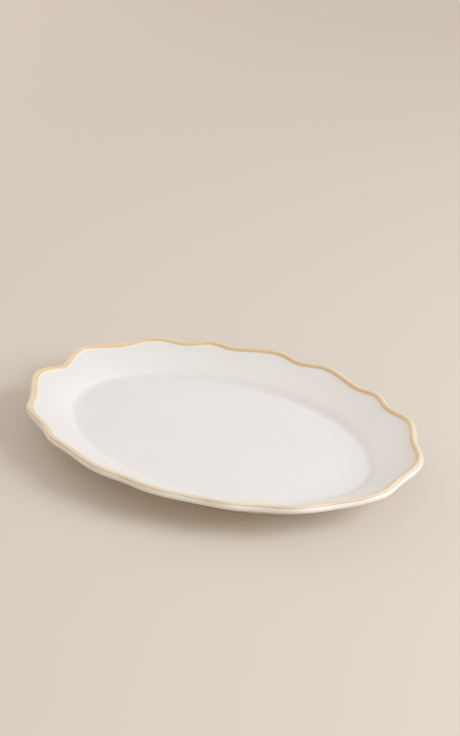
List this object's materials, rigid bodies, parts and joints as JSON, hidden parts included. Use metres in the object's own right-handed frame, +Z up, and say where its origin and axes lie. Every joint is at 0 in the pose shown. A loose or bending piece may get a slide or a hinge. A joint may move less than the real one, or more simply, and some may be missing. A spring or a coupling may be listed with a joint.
{
  "type": "oval china serving platter",
  "caption": "Shallow oval serving platter with a flat well, a broad sloping flange and a scalloped rolled lip carrying a coloured band, on an oval foot ring.",
  "frame": {"origin": "centre of the oval, on the table plane that the foot ring rests on", "axes": "+X along the long axis, +Y along the short axis, +Z up out of the well"},
  "size_m": [0.3953, 0.2898, 0.0356],
  "materials": {
    "white_glaze": "satin gloss",
    "ochre_enamel": "satin",
    "bare_clay": "matte"
  },
  "bodies": {
    "root": {"platter_body": "white_glaze", "rim_band": "ochre_enamel", "foot_ring": "bare_clay"}
  },
  "joints": []
}
